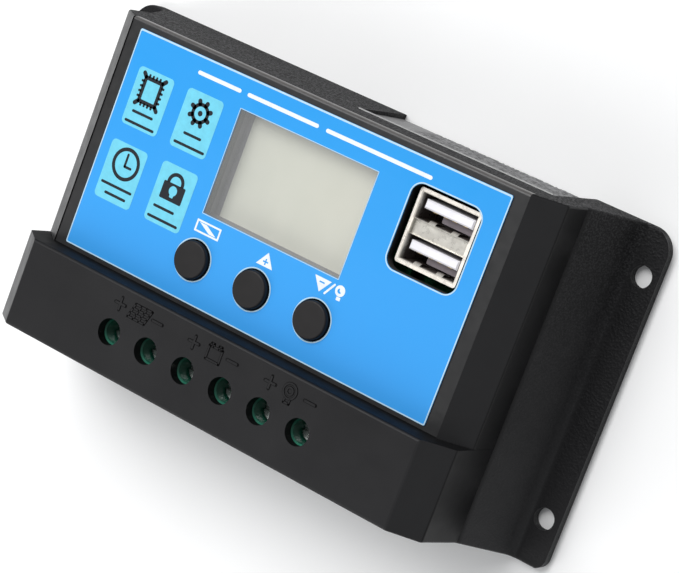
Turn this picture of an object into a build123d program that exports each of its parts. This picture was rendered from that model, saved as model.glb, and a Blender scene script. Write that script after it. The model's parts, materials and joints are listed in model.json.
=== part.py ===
from build123d import *
import os

# Solar charge controller lying on its back: +X along the housing, +Y towards the edge away from the
# wire terminals, +Z out of the display face. Origin at the middle of the back face. Millimetres.

# ------------------------------------------------------------------ housing
LENGTH = 133.5  # over the two mounting flanges
WIDTH = 70.0  # at the back face
HEIGHT = 35.0  # back face to the marks moulded on the terminal deck
MARK_H = 0.15
DECK_Z = HEIGHT - MARK_H  # surface of the raised terminal deck
LABEL_Z = 28.5  # front surface of the printed label
WALL = 2.2  # moulded wall thickness
FLANGE_T = 2.2
FLANGE_TOP_R = 5.0  # flange corner radius at the top edge
FLANGE_LOW_R = 2.6  # flange corner radius at the wire edge
WALL_EDGE_R = 0.5  # rounding where the long walls meet skirt, side walls and shoulders
FACE_HALF = 48.2  # half width of the display panel and of the terminal deck
SHOULDER_OUT = 5.5
SHOULDER_DROP = 5.4
WALL_FOOT = (54.0, 15.5)  # X, Z where the side wall turns into the sloping skirt
SKIRT_FOOT_X = 59.9  # X where the skirt meets the flange
TOP_DRAFT = 0.6  # how far the top wall leans in over the housing's height
LOW_DRAFT = 2.1  # how far the wire wall leans in from back face to terminal deck
STEP_Y = -14.4  # where the raised terminal section begins
OVER = 5.0  # how far cutting shapes run past a surface
GAP = 0.1  # assembly gap between neighbouring pieces

# ------------------------------------------------------------------ mounting holes
HOLE_PITCH_X = 126.5
HOLE_PITCH_Y = 50.5
HOLE_R = 2.2

# ------------------------------------------------------------------ display panel and label
LABEL_T = 0.25
PANEL_T = 2.0
PANEL_TOP_Z = LABEL_Z - LABEL_T
SEAT_Z = PANEL_TOP_Z - PANEL_T
PANEL_TOP_Y = WIDTH / 2 - TOP_DRAFT
LEDGE = (43.5, -11.6, 30.5)  # half width, low Y and high Y of the opening inside the panel seat
LABEL_SIZE = (90.4, 46.1)
LABEL_AT = (-0.2, 9.65)
WINDOW_SIZE = (33.6, 21.8)
WINDOW_AT = (0.1, 15.35)
USB_CUT = (15.9, 17.2)
USB_CUT_AT = (32.8, 19.25)
USB_CUT_R = 2.4
BUTTON_Y = -5.0
BUTTON_X = {"menu": -15.2, "up": -0.25, "down": 14.7}
BUTTON_HOLE_R = 4.15

# ------------------------------------------------------------------ push buttons and their switches
CAP_R = 3.85
CAP_TOP_Z = 29.7
CAP_LOW_Z = 24.3
CAP_RIM_R = 4.7
CAP_RIM_T = 1.1
CAP_RIM_TOP_Z = SEAT_Z - 0.05
PLUNGER_R = 1.75
PLUNGER_LOW_Z = 20.0
SWITCH_SIZE = 6.0
SWITCH_H = 3.5

# ------------------------------------------------------------------ display stack
DISPLAY_BOARD_Z = 15.5
BOARD_T = 1.6
DISPLAY_BOARD_X = (-26.0, 25.0)
DISPLAY_BOARD_Y = (-9.2, 29.8)
DISPLAY_TOP_Z = DISPLAY_BOARD_Z + BOARD_T
DISPLAY_POSTS = [(-23.3, 26.8), (-23.3, -6.0), (22.6, 26.8), (22.6, -6.0)]
GLASS_TOP_Z = 24.3
GLASS_T = 2.2
GLASS_SIZE = (38.0, 26.6)
ZEBRA_W = 2.6
ZEBRA_INSET = 0.2
DISPLAY_POST_R = 2.3
DISPLAY_PILOT_R = 0.9
DISPLAY_HEAD = (1.9, 1.4)  # radius and height of the display board's screw heads
CONNECTOR_X = (-13, 13)
CONNECTOR_Y = (25.2, 27.8)

# ------------------------------------------------------------------ main board
MAIN_BOARD_Z = 9.0
MAIN_TOP_Z = MAIN_BOARD_Z + BOARD_T
MAIN_BOARD_SIZE = (97.2, 62.4)
MAIN_POSTS = [(-45.6, 27.2), (45.6, 27.2), (-45.6, -9.2), (45.6, -9.2)]
POST_R = 3.0
PILOT_R = 1.15
BOARD_HEAD = (2.2, 1.8)  # radius and height of the main board's screw heads
CAPACITOR_X = -37.5
CAPACITOR_Y = (20.0, 6.0)
CAPACITOR_R = 5.0
CAPACITOR_H = 12.5
INDUCTOR_AT = (34.0, 2.0)
INDUCTOR_R = 5.0
INDUCTOR_H = 5.4
FLANGE_H = 1.0  # thickness of the inductor core's two flanges
WINDING_R = 4.4
CORE_R = 2.2
CHIP_X = (-6, 6)
CHIP_Y = (-2, 10)
REGULATOR_X = (41.2, 47.6)
REGULATOR_Y = (-4.5, 1.6)
FUSE_X = (-42.0, -27.0)
FUSE_Y = -8.0
FUSE_R = 2.6

# ------------------------------------------------------------------ back plate, also the heat sink
PLATE_T = 1.8
PLATE_HALF_X = 57.2
PLATE_HALF_Y = 32.2
NOTCH_X = (2.5, 48.0)  # opening in the top wall for the plate's turned-up edge
NOTCH_Z = 19.0
TURNED_OUT_Y = 34.0
TURNED_H = 18.7
BACK_POSTS = [(x, y) for x in (-50.6, 50.6) for y in (-28.3, 28.3)]
BACK_POST_R = 2.8
BACK_POST_TOP = 14.0
VENT_X = [-44 + 8 * i for i in range(6)]
VENT_SIZE = (30, 2.4)
COUNTERSINK = (1.6, 3.0)  # hole and cone radius for the back screws

# ------------------------------------------------------------------ power transistors on the plate
FET_X = [7.5 + 11.5 * i for i in range(4)]
FET_W = 10.0
FET_BODY_Y = (15.0, 24.2)
FET_TAB_END_Y = 30.6
FET_HOLE_Y = 27.8
PAD_T = 0.3
TAB_T = 1.3
FET_BODY_T = 4.4
LEAD_STEPS = (-2.54, 0, 2.54)
LEAD_W = 0.8
LEAD_Y = 10.5  # where the leads go up through the main board
LEAD_Z = (4.2, 4.9)
FET_HEAD = (2.7, 1.9)  # radius and height of the transistors' screw heads
FET_SCREW_R = 1.45

# ------------------------------------------------------------------ twin USB-A socket
USB_AT = (32.8, 19.6)
USB_BODY = (13.2, 14.3)
USB_LIP = (14.0, 15.0)
USB_MOUTH_Z = 27.0
USB_FLARE_Z = 26.2
USB_FLOOR_Z = 14.8
PORT_SIZE = (12.5, 5.1)
PORT_PITCH = 8.2
TONGUE_SIZE = (11.1, 1.84)
TONGUE_SHIFT = 0.6
TONGUE_TIP_Z = 26.0
CONTACT_STEPS = (-3.5, -1.0, 1.0, 3.5)
CONTACT_SIZE = (1.0, 0.25)

# ------------------------------------------------------------------ rising-clamp wire terminals
POLES = 6
POLE_PITCH = 9.5
SCREW_Y = -24.2
DECK_HOLE_R = 2.7
MODULE_W = POLE_PITCH - GAP
MODULE_Y = (-30.5, -17.0)
MODULE_TOP_Z = 32.6
MODULE_HOLE_R = 2.4
MODULE_RIM = 0.28  # chamfer round the module's screwdriver hole
CLAMP_OUT = (7.2, 6.3)
CLAMP_Z = (11.5, 22.9)
WIRE_W = 5.2
WIRE_Z = (12.9, 20.9)
CHAMBER = (7.8, 6.9)
CHAMBER_Z = (11.1, 27.2)
ENTRY_W = 7.0
ENTRY_Z = (11.9, 20.3)
BAR_Z = (19.7, 20.7)
BAR_W = 4.4
BAR_Y = (-27.3, -18.2)
BAR_PIN = (2.1, 0.7)  # width and thickness of the bar's solder pin
SCREW_R = 2.0
SCREW_HEAD_R = 2.25
SCREW_HEAD_Z = (27.3, 29.5)
SLOT = (0.8, 1.1)  # width and depth of the driver slots
THREAD_GAP = 0.05

POLE_X = [(i - (POLES - 1) / 2) * POLE_PITCH for i in range(POLES)]

# ------------------------------------------------------------------ signs moulded on the deck
MARK_X = [0.4 + i * 2 * POLE_PITCH for i in (-1, 0, 1)]
MARK_Y = -18.0
MARK_GAP = 4.8
MARK_SIZE = 2.6
MARK_LINE = 0.45


def across(y):
    """Plane facing -Y through the given Y, with X to the right and Z up."""
    return Plane.XZ.offset(-y)


def box(x, y, z, mode=Mode.ADD):
    """Box between two X, two Y and two Z values, joined to the part being built."""
    with Locations(((x[0] + x[1]) / 2, (y[0] + y[1]) / 2, (z[0] + z[1]) / 2)):
        Box(x[1] - x[0], y[1] - y[0], z[1] - z[0], mode=mode)


def rod(x, y, radius, z, mode=Mode.ADD):
    """Upright cylinder between two Z values, joined to the part being built."""
    with Locations((x, y, (z[0] + z[1]) / 2)):
        Cylinder(radius, z[1] - z[0], mode=mode)


def span(middle, size):
    """The two ends of a length about its middle."""
    return (middle - size / 2, middle + size / 2)


def cross_slot(x, y, size, z):
    """Cut a cross of the given arm length and width out of a screw head."""
    box(span(x, size[0]), span(y, size[1]), z, mode=Mode.SUBTRACT)
    box(span(x, size[1]), span(y, size[0]), z, mode=Mode.SUBTRACT)


def save(piece, name):
    """Label a finished piece and write its STEP file."""
    piece.part.label = name
    export_step(piece.part, f"parts/{name}.step")


def section_points(face_z):
    """Corners of the housing's cross-section, run on below the back face."""
    slope = (SKIRT_FOOT_X - WALL_FOOT[0]) / (WALL_FOOT[1] - FLANGE_T)
    right = [
        (FACE_HALF, face_z),
        (FACE_HALF + SHOULDER_OUT, face_z - SHOULDER_DROP),
        WALL_FOOT,
        (SKIRT_FOOT_X + slope * (FLANGE_T + OVER), -OVER),
    ]
    return right + [(-x, z) for x, z in reversed(right)]


def draft_wedges(inset):
    """Cut what lies outside the two drafted long walls, set in by a wall thickness."""
    top, low = WIDTH / 2 - inset, -WIDTH / 2 + inset
    top_lean = TOP_DRAFT / LABEL_Z
    low_lean = LOW_DRAFT / DECK_Z
    high = DECK_Z + OVER
    with BuildSketch(Plane.YZ.offset(-LENGTH)) as wedges:
        Polygon((top + top_lean * OVER, -OVER), (top - top_lean * high, high),
                (WIDTH, high), (WIDTH, -OVER), align=None)
        Polygon((low - low_lean * OVER, -OVER), (low + low_lean * high, high),
                (-WIDTH, high), (-WIDTH, -OVER), align=None)
    extrude(wedges.sketch, amount=2 * LENGTH, mode=Mode.SUBTRACT)


def long_edges(part, x, z):
    """Edges along Y at the given distance from the middle and height."""
    return part.edges().filter_by(Axis.Y).filter_by(
        lambda e: abs(abs(e.center().X) - x) < 0.05 and abs(e.center().Z - z) < 0.05
    )


def wall_outlines(part):
    """Outlines of the two long walls, between the flange and the terminal deck."""
    walls = part.faces().filter_by(
        lambda f: abs(f.normal_at().Y) > 0.9 and abs(f.center().Y) > WIDTH / 2 - 4
    )
    outlines = set(e for wall in walls for e in wall.edges())
    return [e for e in outlines if FLANGE_T + 0.05 < e.center().Z < DECK_Z - 0.7]


# ------------------------------------------------------------------ main shell
with BuildPart() as cavity:
    with BuildSketch(across(WIDTH / 2)):
        Polygon(*section_points(SEAT_Z), align=None)
        offset(amount=-WALL, kind=Kind.INTERSECTION)
    extrude(amount=WIDTH)
    with BuildSketch(across(STEP_Y - WALL)):
        Polygon(*section_points(DECK_Z), align=None)
        offset(amount=-WALL, kind=Kind.INTERSECTION)
    extrude(amount=WIDTH)
    draft_wedges(WALL + 0.2)

with BuildPart() as main_shell:
    with BuildSketch(Plane.XY):
        Rectangle(LENGTH, WIDTH)
        fillet(vertices().group_by(Axis.Y)[-1], FLANGE_TOP_R)
        fillet(vertices().group_by(Axis.Y)[0], FLANGE_LOW_R)
    extrude(amount=FLANGE_T)
    with BuildSketch(across(WIDTH / 2)):
        Polygon(*section_points(LABEL_Z), align=None)
    extrude(amount=WIDTH)
    with BuildSketch(across(STEP_Y)):
        Polygon(*section_points(DECK_Z), align=None)
    extrude(amount=WIDTH / 2 + STEP_Y)
    box((-LENGTH, LENGTH), (-WIDTH, WIDTH), (-2 * OVER, 0), mode=Mode.SUBTRACT)
    draft_wedges(0)
    fillet(long_edges(main_shell, SKIRT_FOOT_X, FLANGE_T), 2.5)
    fillet(long_edges(main_shell, FACE_HALF + SHOULDER_OUT, LABEL_Z - SHOULDER_DROP), 0.8)
    fillet(long_edges(main_shell, FACE_HALF + SHOULDER_OUT, DECK_Z - SHOULDER_DROP), 0.8)
    fillet(main_shell.faces().sort_by(Axis.Z)[-1].edges(), 0.6)
    fillet(wall_outlines(main_shell), WALL_EDGE_R)
    add(cavity.part, mode=Mode.SUBTRACT)
    # seat for the display panel, and the opening behind it
    box(span(0, 2 * FACE_HALF), (STEP_Y, WIDTH), (SEAT_Z, HEIGHT), mode=Mode.SUBTRACT)
    box(span(0, 2 * LEDGE[0]), LEDGE[1:], (SEAT_Z - 2 * WALL, HEIGHT), mode=Mode.SUBTRACT)
    # posts for the main board and for the back plate
    for x, y in MAIN_POSTS:
        rod(x, y, POST_R, (MAIN_TOP_Z, SEAT_Z - WALL + GAP))
        rod(x, y, PILOT_R, (MAIN_TOP_Z - 1, MAIN_TOP_Z + 9), mode=Mode.SUBTRACT)
    for x, y in BACK_POSTS:
        rod(x, y, BACK_POST_R, (PLATE_T, BACK_POST_TOP))
        rod(x, y, PILOT_R, (0, PLATE_T + 9), mode=Mode.SUBTRACT)
    # screwdriver holes in the terminal deck and wire entries below them
    for x in POLE_X:
        rod(x, SCREW_Y, DECK_HOLE_R, (DECK_Z - 2 * WALL, HEIGHT), mode=Mode.SUBTRACT)
        box(span(x, ENTRY_W), (-WIDTH / 2 - 1, MODULE_Y[0]), ENTRY_Z, mode=Mode.SUBTRACT)
    # plus and minus signs moulded on the deck, one pair to each two poles
    for x in MARK_X:
        box(span(x - MARK_GAP, MARK_SIZE), span(MARK_Y, MARK_LINE), (DECK_Z - 0.2, HEIGHT))
        box(span(x - MARK_GAP, MARK_LINE), span(MARK_Y, MARK_SIZE), (DECK_Z - 0.2, HEIGHT))
        box(span(x + MARK_GAP, MARK_SIZE), span(MARK_Y, MARK_LINE), (DECK_Z - 0.2, HEIGHT))
    # opening in the top wall for the heat sink's turned-up edge
    box(NOTCH_X, (WIDTH / 2 - 2 * WALL, WIDTH / 2 + 1), (-1, NOTCH_Z), mode=Mode.SUBTRACT)
    with GridLocations(HOLE_PITCH_X, HOLE_PITCH_Y, 2, 2):
        Cylinder(HOLE_R, 4 * FLANGE_T, mode=Mode.SUBTRACT)

# ------------------------------------------------------------------ front cover and label
with BuildPart() as front_cover:
    box(span(0, 2 * (FACE_HALF - GAP)), (STEP_Y + GAP, PANEL_TOP_Y), (SEAT_Z, PANEL_TOP_Z))
    fillet(front_cover.edges().filter_by(Axis.X).sort_by(Axis.Z)[-2:].sort_by(Axis.Y)[-1], 0.7)
    # locating rib that drops inside the ledge
    rib_x = LEDGE[0] - 0.2
    box(span(0, 2 * rib_x), (LEDGE[1] + 0.2, LEDGE[2] - 0.2), (SEAT_Z - 2, SEAT_Z))
    box(span(0, 2 * rib_x - 3), (LEDGE[1] + 1.7, LEDGE[2] - 1.7), (SEAT_Z - 2, SEAT_Z),
        mode=Mode.SUBTRACT)
    for x, y in DISPLAY_POSTS:
        rod(x, y, DISPLAY_POST_R, (DISPLAY_TOP_Z, SEAT_Z))
        rod(x, y, DISPLAY_PILOT_R, (DISPLAY_TOP_Z - 1, SEAT_Z - 1), mode=Mode.SUBTRACT)
    with BuildSketch(Plane.XY.offset(SEAT_Z - 3)):
        with Locations(WINDOW_AT):
            Rectangle(*WINDOW_SIZE)
        with Locations(USB_CUT_AT):
            RectangleRounded(*USB_CUT, USB_CUT_R)
        with Locations([(x, BUTTON_Y) for x in BUTTON_X.values()]):
            Circle(BUTTON_HOLE_R)
    extrude(amount=3 + 2 * PANEL_T, mode=Mode.SUBTRACT)

with BuildPart() as front_label:
    with BuildSketch(Plane.XY.offset(PANEL_TOP_Z)):
        with Locations(LABEL_AT):
            RectangleRounded(*LABEL_SIZE, 0.4)
        with Locations(WINDOW_AT):
            Rectangle(*WINDOW_SIZE, mode=Mode.SUBTRACT)
        with Locations(USB_CUT_AT):
            RectangleRounded(*USB_CUT, USB_CUT_R, mode=Mode.SUBTRACT)
        with Locations([(x, BUTTON_Y) for x in BUTTON_X.values()]):
            Circle(BUTTON_HOLE_R, mode=Mode.SUBTRACT)
    extrude(amount=LABEL_T)

with BuildPart() as lcd_window:
    with BuildSketch(Plane.XY.offset(PANEL_TOP_Z)):
        with Locations(WINDOW_AT):
            Rectangle(WINDOW_SIZE[0] - GAP / 2, WINDOW_SIZE[1] - GAP / 2)
    extrude(amount=LABEL_T)

# ------------------------------------------------------------------ display stack
glass_x = span(WINDOW_AT[0], GLASS_SIZE[0])
glass_y = span(WINDOW_AT[1], GLASS_SIZE[1])
GLASS_LOW_Z = GLASS_TOP_Z - GLASS_T

with BuildPart() as lcd_bezel:
    box(glass_x, glass_y, (GLASS_TOP_Z, SEAT_Z))
    box(span(WINDOW_AT[0], WINDOW_SIZE[0]), span(WINDOW_AT[1], WINDOW_SIZE[1]),
        (GLASS_TOP_Z, SEAT_Z), mode=Mode.SUBTRACT)

with BuildPart() as lcd_glass:
    box(glass_x, glass_y, (GLASS_LOW_Z, GLASS_TOP_Z))
    chamfer(lcd_glass.edges().filter_by(Axis.Z), 0.4)

with BuildPart() as lcd_backlight:
    box(glass_x, (glass_y[0] + ZEBRA_W + 3 * ZEBRA_INSET, glass_y[1]), (DISPLAY_TOP_Z, GLASS_LOW_Z))
    fillet(lcd_backlight.edges().filter_by(Axis.Z), 0.8)

with BuildPart() as zebra_strip:
    zebra_y = glass_y[0] + ZEBRA_INSET
    box((glass_x[0] + 2, glass_x[1] - 2), (zebra_y, zebra_y + ZEBRA_W), (DISPLAY_TOP_Z, GLASS_LOW_Z))

with BuildPart() as display_board:
    box(DISPLAY_BOARD_X, DISPLAY_BOARD_Y, (DISPLAY_BOARD_Z, DISPLAY_TOP_Z))
    for x, y in DISPLAY_POSTS:
        rod(x, y, 1.2, (DISPLAY_BOARD_Z - 1, DISPLAY_TOP_Z + 1), mode=Mode.SUBTRACT)
    fillet(display_board.edges().filter_by(Axis.Z).group_by(SortBy.LENGTH)[0]
           .filter_by(GeomType.LINE), 1.0)

with BuildPart() as display_screws:
    for x, y in DISPLAY_POSTS:
        rod(x, y, DISPLAY_HEAD[0], (DISPLAY_BOARD_Z - DISPLAY_HEAD[1], DISPLAY_BOARD_Z))
        rod(x, y, DISPLAY_PILOT_R - THREAD_GAP, (DISPLAY_BOARD_Z - 0.2, DISPLAY_TOP_Z + 5))
        cross_slot(x, y, (3, 0.6), (DISPLAY_BOARD_Z - 2, DISPLAY_BOARD_Z - 0.7))

with BuildPart() as board_connector:
    box(CONNECTOR_X, CONNECTOR_Y, (MAIN_TOP_Z, DISPLAY_BOARD_Z))
    chamfer(board_connector.edges().filter_by(Axis.Z), 0.5)

# ------------------------------------------------------------------ tact switches and button caps
with BuildPart() as switch_bodies:
    for x in BUTTON_X.values():
        box(span(x, SWITCH_SIZE), span(BUTTON_Y, SWITCH_SIZE), (DISPLAY_TOP_Z, DISPLAY_TOP_Z + SWITCH_H))
        rod(x, BUTTON_Y, PLUNGER_R + 0.1, (DISPLAY_TOP_Z + 1.8, DISPLAY_TOP_Z + SWITCH_H + 1),
            mode=Mode.SUBTRACT)
    chamfer(switch_bodies.edges().filter_by(Axis.Z).filter_by(GeomType.LINE)
            .filter_by(lambda e: e.length > SWITCH_H - 0.01), 0.4)


def button_cap(x):
    """Round cap with a flat top and a rim that holds it behind the cover."""
    with BuildPart() as cap:
        rod(x, BUTTON_Y, CAP_R, (CAP_LOW_Z, CAP_TOP_Z))
        fillet(cap.faces().sort_by(Axis.Z)[-1].edges(), 0.45)
        rod(x, BUTTON_Y, CAP_RIM_R, (CAP_RIM_TOP_Z - CAP_RIM_T, CAP_RIM_TOP_Z))
    return cap


def switch_plunger(x):
    """Round plunger of a tact switch, under its cap."""
    with BuildPart() as plunger:
        rod(x, BUTTON_Y, PLUNGER_R, (PLUNGER_LOW_Z, CAP_LOW_Z))
        chamfer(plunger.faces().sort_by(Axis.Z)[-1].edges(), 0.2)
    return plunger


# ------------------------------------------------------------------ main board and what it carries
with BuildPart() as main_board:
    box(span(0, MAIN_BOARD_SIZE[0]), span(0, MAIN_BOARD_SIZE[1]), (MAIN_BOARD_Z, MAIN_TOP_Z))
    for x, y in MAIN_POSTS:
        rod(x, y, 1.6, (MAIN_BOARD_Z - 1, MAIN_TOP_Z + 1), mode=Mode.SUBTRACT)
    for x, y in BACK_POSTS:
        rod(x, y, BACK_POST_R + 0.4, (MAIN_BOARD_Z - 1, MAIN_TOP_Z + 1), mode=Mode.SUBTRACT)
    for x in POLE_X:
        box(span(x, BAR_PIN[0] + 0.3), (BAR_Y[1] - BAR_PIN[1] - 0.2, BAR_Y[1] + 0.2),
            (MAIN_BOARD_Z - 1, MAIN_TOP_Z + 1), mode=Mode.SUBTRACT)
    for x in FET_X:
        for step in LEAD_STEPS:
            rod(x + step, LEAD_Y, 0.65, (MAIN_BOARD_Z - 1, MAIN_TOP_Z + 1), mode=Mode.SUBTRACT)

with BuildPart() as board_screws:
    for x, y in MAIN_POSTS:
        rod(x, y, BOARD_HEAD[0], (MAIN_BOARD_Z - BOARD_HEAD[1], MAIN_BOARD_Z))
        rod(x, y, PILOT_R - THREAD_GAP, (MAIN_BOARD_Z - 0.2, MAIN_TOP_Z + 6))
        cross_slot(x, y, (4, 0.7), (MAIN_BOARD_Z - 3, MAIN_BOARD_Z - 0.9))

with BuildPart() as capacitors:
    for y in CAPACITOR_Y:
        rod(CAPACITOR_X, y, CAPACITOR_R, (MAIN_TOP_Z, MAIN_TOP_Z + CAPACITOR_H))
    fillet(capacitors.faces().group_by(Axis.Z)[-1].edges(), 0.6)

core_z = (MAIN_TOP_Z, MAIN_TOP_Z + INDUCTOR_H)
winding_z = (core_z[0] + FLANGE_H, core_z[1] - FLANGE_H)
with BuildPart() as inductor_core:
    rod(*INDUCTOR_AT, INDUCTOR_R, core_z)
    rod(*INDUCTOR_AT, INDUCTOR_R, winding_z, mode=Mode.SUBTRACT)
    rod(*INDUCTOR_AT, CORE_R, core_z)

with BuildPart() as inductor_winding:
    rod(*INDUCTOR_AT, WINDING_R, winding_z)
    rod(*INDUCTOR_AT, CORE_R, winding_z, mode=Mode.SUBTRACT)

with BuildPart() as microcontroller:
    box(CHIP_X, CHIP_Y, (MAIN_TOP_Z, MAIN_TOP_Z + 1.6))
    chamfer(microcontroller.edges().filter_by(Axis.Z), 0.8)

with BuildPart() as regulator:
    box(REGULATOR_X, REGULATOR_Y, (MAIN_TOP_Z, MAIN_TOP_Z + 2.3))
    box((REGULATOR_X[0] + 0.6, REGULATOR_X[1] - 0.6), (REGULATOR_Y[1], REGULATOR_Y[1] + 1.6),
        (MAIN_TOP_Z, MAIN_TOP_Z + 0.6))

with BuildPart() as fuse:
    with BuildSketch(Plane.YZ.offset(FUSE_X[0])):
        with Locations((FUSE_Y, MAIN_TOP_Z + FUSE_R + 0.4)):
            Circle(FUSE_R)
    extrude(amount=FUSE_X[1] - FUSE_X[0])
    fillet(fuse.edges(), 0.4)

# ------------------------------------------------------------------ back plate and power transistors
with BuildPart() as back_plate:
    box(span(0, 2 * PLATE_HALF_X), span(0, 2 * PLATE_HALF_Y), (0, PLATE_T))
    turned_x = (NOTCH_X[0] + 0.3, NOTCH_X[1] - 0.3)
    box(turned_x, (0, TURNED_OUT_Y), (0, PLATE_T))
    box(turned_x, (TURNED_OUT_Y - PLATE_T, TURNED_OUT_Y), (0, TURNED_H))
    fillet(back_plate.edges().filter_by(Axis.X)
           .filter_by(lambda e: e.center().Y > TURNED_OUT_Y - 0.1 and e.center().Z < 0.1), 1.6)
    with BuildSketch(Plane.XY.offset(-1)):
        with Locations([(x, 0) for x in VENT_X]):
            SlotOverall(*VENT_SIZE, rotation=90)
    extrude(amount=PLATE_T + 2, mode=Mode.SUBTRACT)
    with Locations([Location((x, y, 0), (180, 0, 0)) for x, y in BACK_POSTS]):
        CounterSinkHole(*COUNTERSINK, depth=PLATE_T)
    for x in FET_X:
        rod(x, FET_HOLE_Y, FET_SCREW_R + THREAD_GAP, (-1, PLATE_T + 1), mode=Mode.SUBTRACT)

with BuildPart() as back_screws:
    for x, y in BACK_POSTS:
        rod(x, y, PILOT_R - THREAD_GAP, (0.5, PLATE_T + 8))
        with Locations((x, y, 0.75)):
            Cone(2.75, 1.45, 1.3)
        cross_slot(x, y, (3.4, 0.6), (0, 0.7))

tab_z = (PLATE_T + PAD_T, PLATE_T + PAD_T + TAB_T)
with BuildPart() as thermal_pads:
    for x in FET_X:
        box(span(x, FET_W + 1), (FET_BODY_Y[0], FET_TAB_END_Y + 0.4), (PLATE_T, PLATE_T + PAD_T))
        rod(x, FET_HOLE_Y, 1.8, (PLATE_T - 1, PLATE_T + 1), mode=Mode.SUBTRACT)

with BuildPart() as transistor_tabs:
    for x in FET_X:
        box(span(x, FET_W), (FET_BODY_Y[1], FET_TAB_END_Y), tab_z)
        rod(x, FET_HOLE_Y, 1.8, (PLATE_T, PLATE_T + 3), mode=Mode.SUBTRACT)

with BuildPart() as transistor_bodies:
    for x in FET_X:
        box(span(x, FET_W), FET_BODY_Y, (tab_z[0], tab_z[0] + FET_BODY_T))
    chamfer(transistor_bodies.faces().group_by(Axis.Z)[-1].edges(), 0.5)

with BuildPart() as transistor_leads:
    for x in FET_X:
        for step in LEAD_STEPS:
            box(span(x + step, LEAD_W), (LEAD_Y - LEAD_W / 2, FET_BODY_Y[0]), LEAD_Z)
            box(span(x + step, LEAD_W), span(LEAD_Y, LEAD_W), (LEAD_Z[0], MAIN_TOP_Z + 0.8))

with BuildPart() as transistor_screws:
    for x in FET_X:
        rod(x, FET_HOLE_Y, FET_HEAD[0], (tab_z[1], tab_z[1] + FET_HEAD[1]))
        rod(x, FET_HOLE_Y, FET_SCREW_R, (0.3, tab_z[1] + 0.5))
        box(span(x, 4), span(FET_HOLE_Y, 0.8), (tab_z[1] + 1, tab_z[1] + 3), mode=Mode.SUBTRACT)

# ------------------------------------------------------------------ twin USB-A socket
PORT_Y = [USB_AT[1] - PORT_PITCH / 2, USB_AT[1] + PORT_PITCH / 2]

with BuildPart() as usb_shell:
    box(span(USB_AT[0], USB_BODY[0]), span(USB_AT[1], USB_BODY[1]), (MAIN_TOP_Z, USB_FLARE_Z))
    with BuildSketch(Plane.XY.offset(USB_FLARE_Z)):
        with Locations(USB_AT):
            Rectangle(*USB_BODY)
    with BuildSketch(Plane.XY.offset(USB_MOUTH_Z)):
        with Locations(USB_AT):
            RectangleRounded(*USB_LIP, 0.6)
    loft()
    fillet(usb_shell.edges().filter_by(Axis.Z).filter_by(lambda e: e.length > 5), 0.35)
    for y in PORT_Y:
        box(span(USB_AT[0], PORT_SIZE[0]), span(y, PORT_SIZE[1]), (USB_FLOOR_Z - 1, USB_MOUTH_Z),
            mode=Mode.SUBTRACT)
        chamfer(usb_shell.faces().sort_by(Axis.Z)[-1].inner_wires()
                .sort_by(lambda w: abs(w.center().Y - y))[0].edges(), 0.2)
    box(span(USB_AT[0], PORT_SIZE[0]), span(USB_AT[1], PORT_PITCH - PORT_SIZE[1] - 0.1),
        (USB_MOUTH_Z - 0.9, USB_MOUTH_Z + 1), mode=Mode.SUBTRACT)
    box(span(USB_AT[0], PORT_SIZE[0]), span(USB_AT[1], PORT_PITCH + PORT_SIZE[1]),
        (MAIN_TOP_Z - 1, USB_FLOOR_Z), mode=Mode.SUBTRACT)

with BuildPart() as usb_insulator:
    box(span(USB_AT[0], PORT_SIZE[0] - GAP), span(USB_AT[1], PORT_PITCH + PORT_SIZE[1] - GAP),
        (MAIN_TOP_Z, USB_FLOOR_Z))
    for y in PORT_Y:
        box(span(USB_AT[0], TONGUE_SIZE[0]), span(y + TONGUE_SHIFT, TONGUE_SIZE[1]),
            (USB_FLOOR_Z - 1, TONGUE_TIP_Z))
    chamfer(usb_insulator.faces().group_by(Axis.Z)[-1].edges(), 0.3)

with BuildPart() as usb_contacts:
    for y in PORT_Y:
        under = y + TONGUE_SHIFT - TONGUE_SIZE[1] / 2
        for step in CONTACT_STEPS:
            box(span(USB_AT[0] + step, CONTACT_SIZE[0]), (under - CONTACT_SIZE[1], under),
                (USB_FLOOR_Z, TONGUE_TIP_Z - 1.2))


# ------------------------------------------------------------------ wire terminals
def terminal_module(x):
    """Insulating housing of one pole: wire entry towards -Y, screwdriver hole on top."""
    with BuildPart() as module:
        box(span(x, MODULE_W), MODULE_Y, (MAIN_TOP_Z, MODULE_TOP_Z))
        chamfer(module.faces().sort_by(Axis.Z)[-1].edges().filter_by(Axis.X), 1.2)
        box(span(x, CHAMBER[0]), span(SCREW_Y, CHAMBER[1]), CHAMBER_Z, mode=Mode.SUBTRACT)
        box(span(x, WIRE_W + 0.8), (MODULE_Y[0] - 1, SCREW_Y), (WIRE_Z[0] - 0.1, BAR_Z[0]),
            mode=Mode.SUBTRACT)
        rod(x, SCREW_Y, MODULE_HOLE_R, (CHAMBER_Z[1] - 1, MODULE_TOP_Z + 1), mode=Mode.SUBTRACT)
        chamfer(module.faces().sort_by(Axis.Z)[-1].inner_wires()[0].edges(), MODULE_RIM)
        box(span(x, BAR_W + 0.2), (SCREW_Y, BAR_Y[1] + GAP), (BAR_Z[0] - 0.05, BAR_Z[1] + 0.05),
            mode=Mode.SUBTRACT)
        box(span(x, BAR_PIN[0] + 0.2), (BAR_Y[1] - BAR_PIN[1] - GAP, BAR_Y[1] + GAP),
            (MAIN_TOP_Z - 1, BAR_Z[1]), mode=Mode.SUBTRACT)
    return module


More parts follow.
